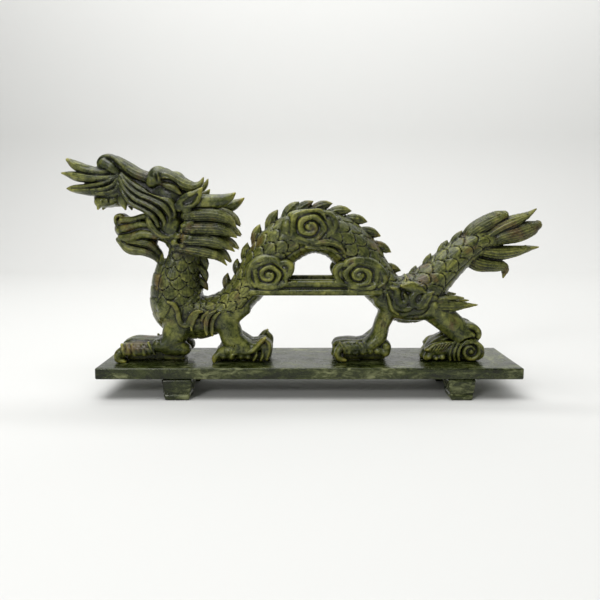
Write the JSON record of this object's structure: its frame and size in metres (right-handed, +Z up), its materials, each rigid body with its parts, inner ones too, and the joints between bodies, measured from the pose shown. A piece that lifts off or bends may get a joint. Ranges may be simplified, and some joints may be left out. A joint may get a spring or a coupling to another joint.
{
  "type": "dragon figurine",
  "caption": "Carved green serpentine dragon with an arched back, cloud scrolls, ridge fins and a flame tail, standing on a polished stone slab with trestle feet.",
  "frame": {"origin": "on the floor, midway along the dragon from whisker tip to tail tip and midway across the slab", "axes": "+X from the dragon's muzzle to its tail, +Z up, -Y towards the dragon's left flank"},
  "size_m": [0.367, 0.07, 0.1797],
  "materials": {
    "carved_serpentine": "waxed gloss, variegated olive to dark green",
    "polished_serpentine": "polished, marbled grey-green"
  },
  "bodies": {
    "root": {"dragon": "carved_serpentine", "plinth_slab": "polished_serpentine", "plinth_foot_left": "polished_serpentine", "plinth_foot_right": "polished_serpentine"}
  },
  "joints": []
}
